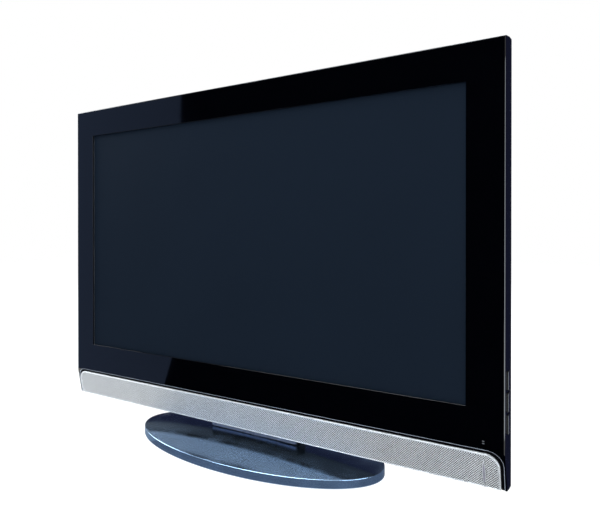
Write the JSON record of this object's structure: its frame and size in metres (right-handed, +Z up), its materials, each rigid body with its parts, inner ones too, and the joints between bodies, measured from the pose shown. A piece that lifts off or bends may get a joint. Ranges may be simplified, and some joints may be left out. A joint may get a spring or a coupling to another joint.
{
  "type": "flat screen television",
  "caption": "Flat screen television with a gloss black bezel, a leaning perforated speaker strip and side keys, on an oval swivel stand.",
  "frame": {"origin": "on the table, under the middle of the stand's oval base", "axes": "+X to the right of someone watching the picture, +Y away from them, +Z up; the picture faces -Y"},
  "size_m": [0.7971, 0.204, 0.5805],
  "materials": {
    "gloss_black": "piano black gloss",
    "matte_black": "fine textured moulding",
    "key_black": "satin moulding",
    "screen_glass": "anti-glare matt film",
    "grille_metal": "silver lacquered perforated sheet",
    "grille_cloth": "open acoustic cloth",
    "foam_black": "closed cell foam",
    "zinc_steel": "zinc plated sheet and bar",
    "painted_steel": "black powder coat",
    "black_screw": "blackened",
    "white_plastic": "moulded",
    "clear_plastic": "translucent",
    "lamp_glass": "phosphor coated",
    "smoked_lens": "smoked, infrared clear",
    "green_board": "solder mask",
    "tan_board": "phenolic board",
    "component_dark": "moulded and sleeved components",
    "brass_post": "turned",
    "heatsink_metal": "extruded",
    "socket_black": "moulded",
    "socket_metal": "nickel plated",
    "socket_blue": "moulded",
    "socket_yellow": "moulded",
    "cone_black": "coated paper",
    "foot_rubber": "moulded rubber"
  },
  "bodies": {
    "base": {"base_plate": "painted_steel", "base_cover": "gloss_black", "base_feet": "foot_rubber", "base_screws": "black_screw", "thrust_ring": "white_plastic", "retaining_ring": "zinc_steel", "pivot_pin": "zinc_steel", "stop_pin": "zinc_steel"},
    "cabinet": {"front_bezel": "gloss_black", "neck_front_cover": "gloss_black", "neck_rear_cover": "gloss_black", "rear_cover": "matte_black", "grille_carrier": "matte_black", "key_carrier": "matte_black", "speaker_box_left": "matte_black", "speaker_box_right": "matte_black", "connector_plate": "matte_black", "lcd_glass": "screen_glass", "speaker_grille": "grille_metal", "grille_cloth": "grille_cloth", "screen_gasket": "foam_black", "panel_frame": "zinc_steel", "backlight_tray": "zinc_steel", "chassis_plate": "zinc_steel", "neck_bracket": "zinc_steel", "turntable": "zinc_steel", "rocker_pins": "zinc_steel", "wall_mount_posts": "zinc_steel", "neck_bolts": "zinc_steel", "speaker_driver_left": "zinc_steel", "speaker_driver_right": "zinc_steel", "cover_screws": "black_screw", "panel_mould": "white_plastic", "lamp_holders": "white_plastic", "prism_sheets": "clear_plastic", "diffuser_plate": "clear_plastic", "status_light_pipe": "clear_plastic", "backlight_lamps": "lamp_glass", "indicator_lens": "smoked_lens", "panel_board": "green_board", "main_board": "green_board", "inverter_board": "green_board", "sensor_board": "green_board", "key_board": "green_board", "power_board": "tan_board", "power_components": "component_dark", "board_standoffs": "brass_post", "main_heatsink": "heatsink_metal", "scart_sockets": "socket_black", "mains_inlet": "socket_black", "hdmi_sockets": "socket_metal", "aerial_socket": "socket_metal", "vga_socket": "socket_blue", "av_sockets": "socket_yellow", "speaker_cone_left": "cone_black", "speaker_cone_right": "cone_black"},
    "power_key": {"power_key": "key_black"},
    "programme_rocker": {"programme_rocker": "key_black"},
    "volume_rocker": {"volume_rocker": "key_black"}
  },
  "joints": [
    {"name": "swivel", "type": "hinge", "parent": "base", "child": "cabinet", "pos_m": [0, 0.01, 0.01], "axis": [0, 0, 1], "range_deg": [-20, 20]},
    {"name": "power_press", "type": "slide", "parent": "cabinet", "child": "power_key", "axis": [-1, 0, 0], "range_m": [0, 0.0008], "stiffness_N_per_m": 800},
    {"name": "programme_rock", "type": "hinge", "parent": "cabinet", "child": "programme_rocker", "pos_m": [0.3904, -0.025, 0.145], "axis": [0, 1, 0], "range_deg": [-2.5, 2.5], "stiffness_Nm_per_rad": 0.2},
    {"name": "volume_rock", "type": "hinge", "parent": "cabinet", "child": "volume_rocker", "pos_m": [0.3904, -0.025, 0.119], "axis": [0, 1, 0], "range_deg": [-2.5, 2.5], "stiffness_Nm_per_rad": 0.2}
  ]
}
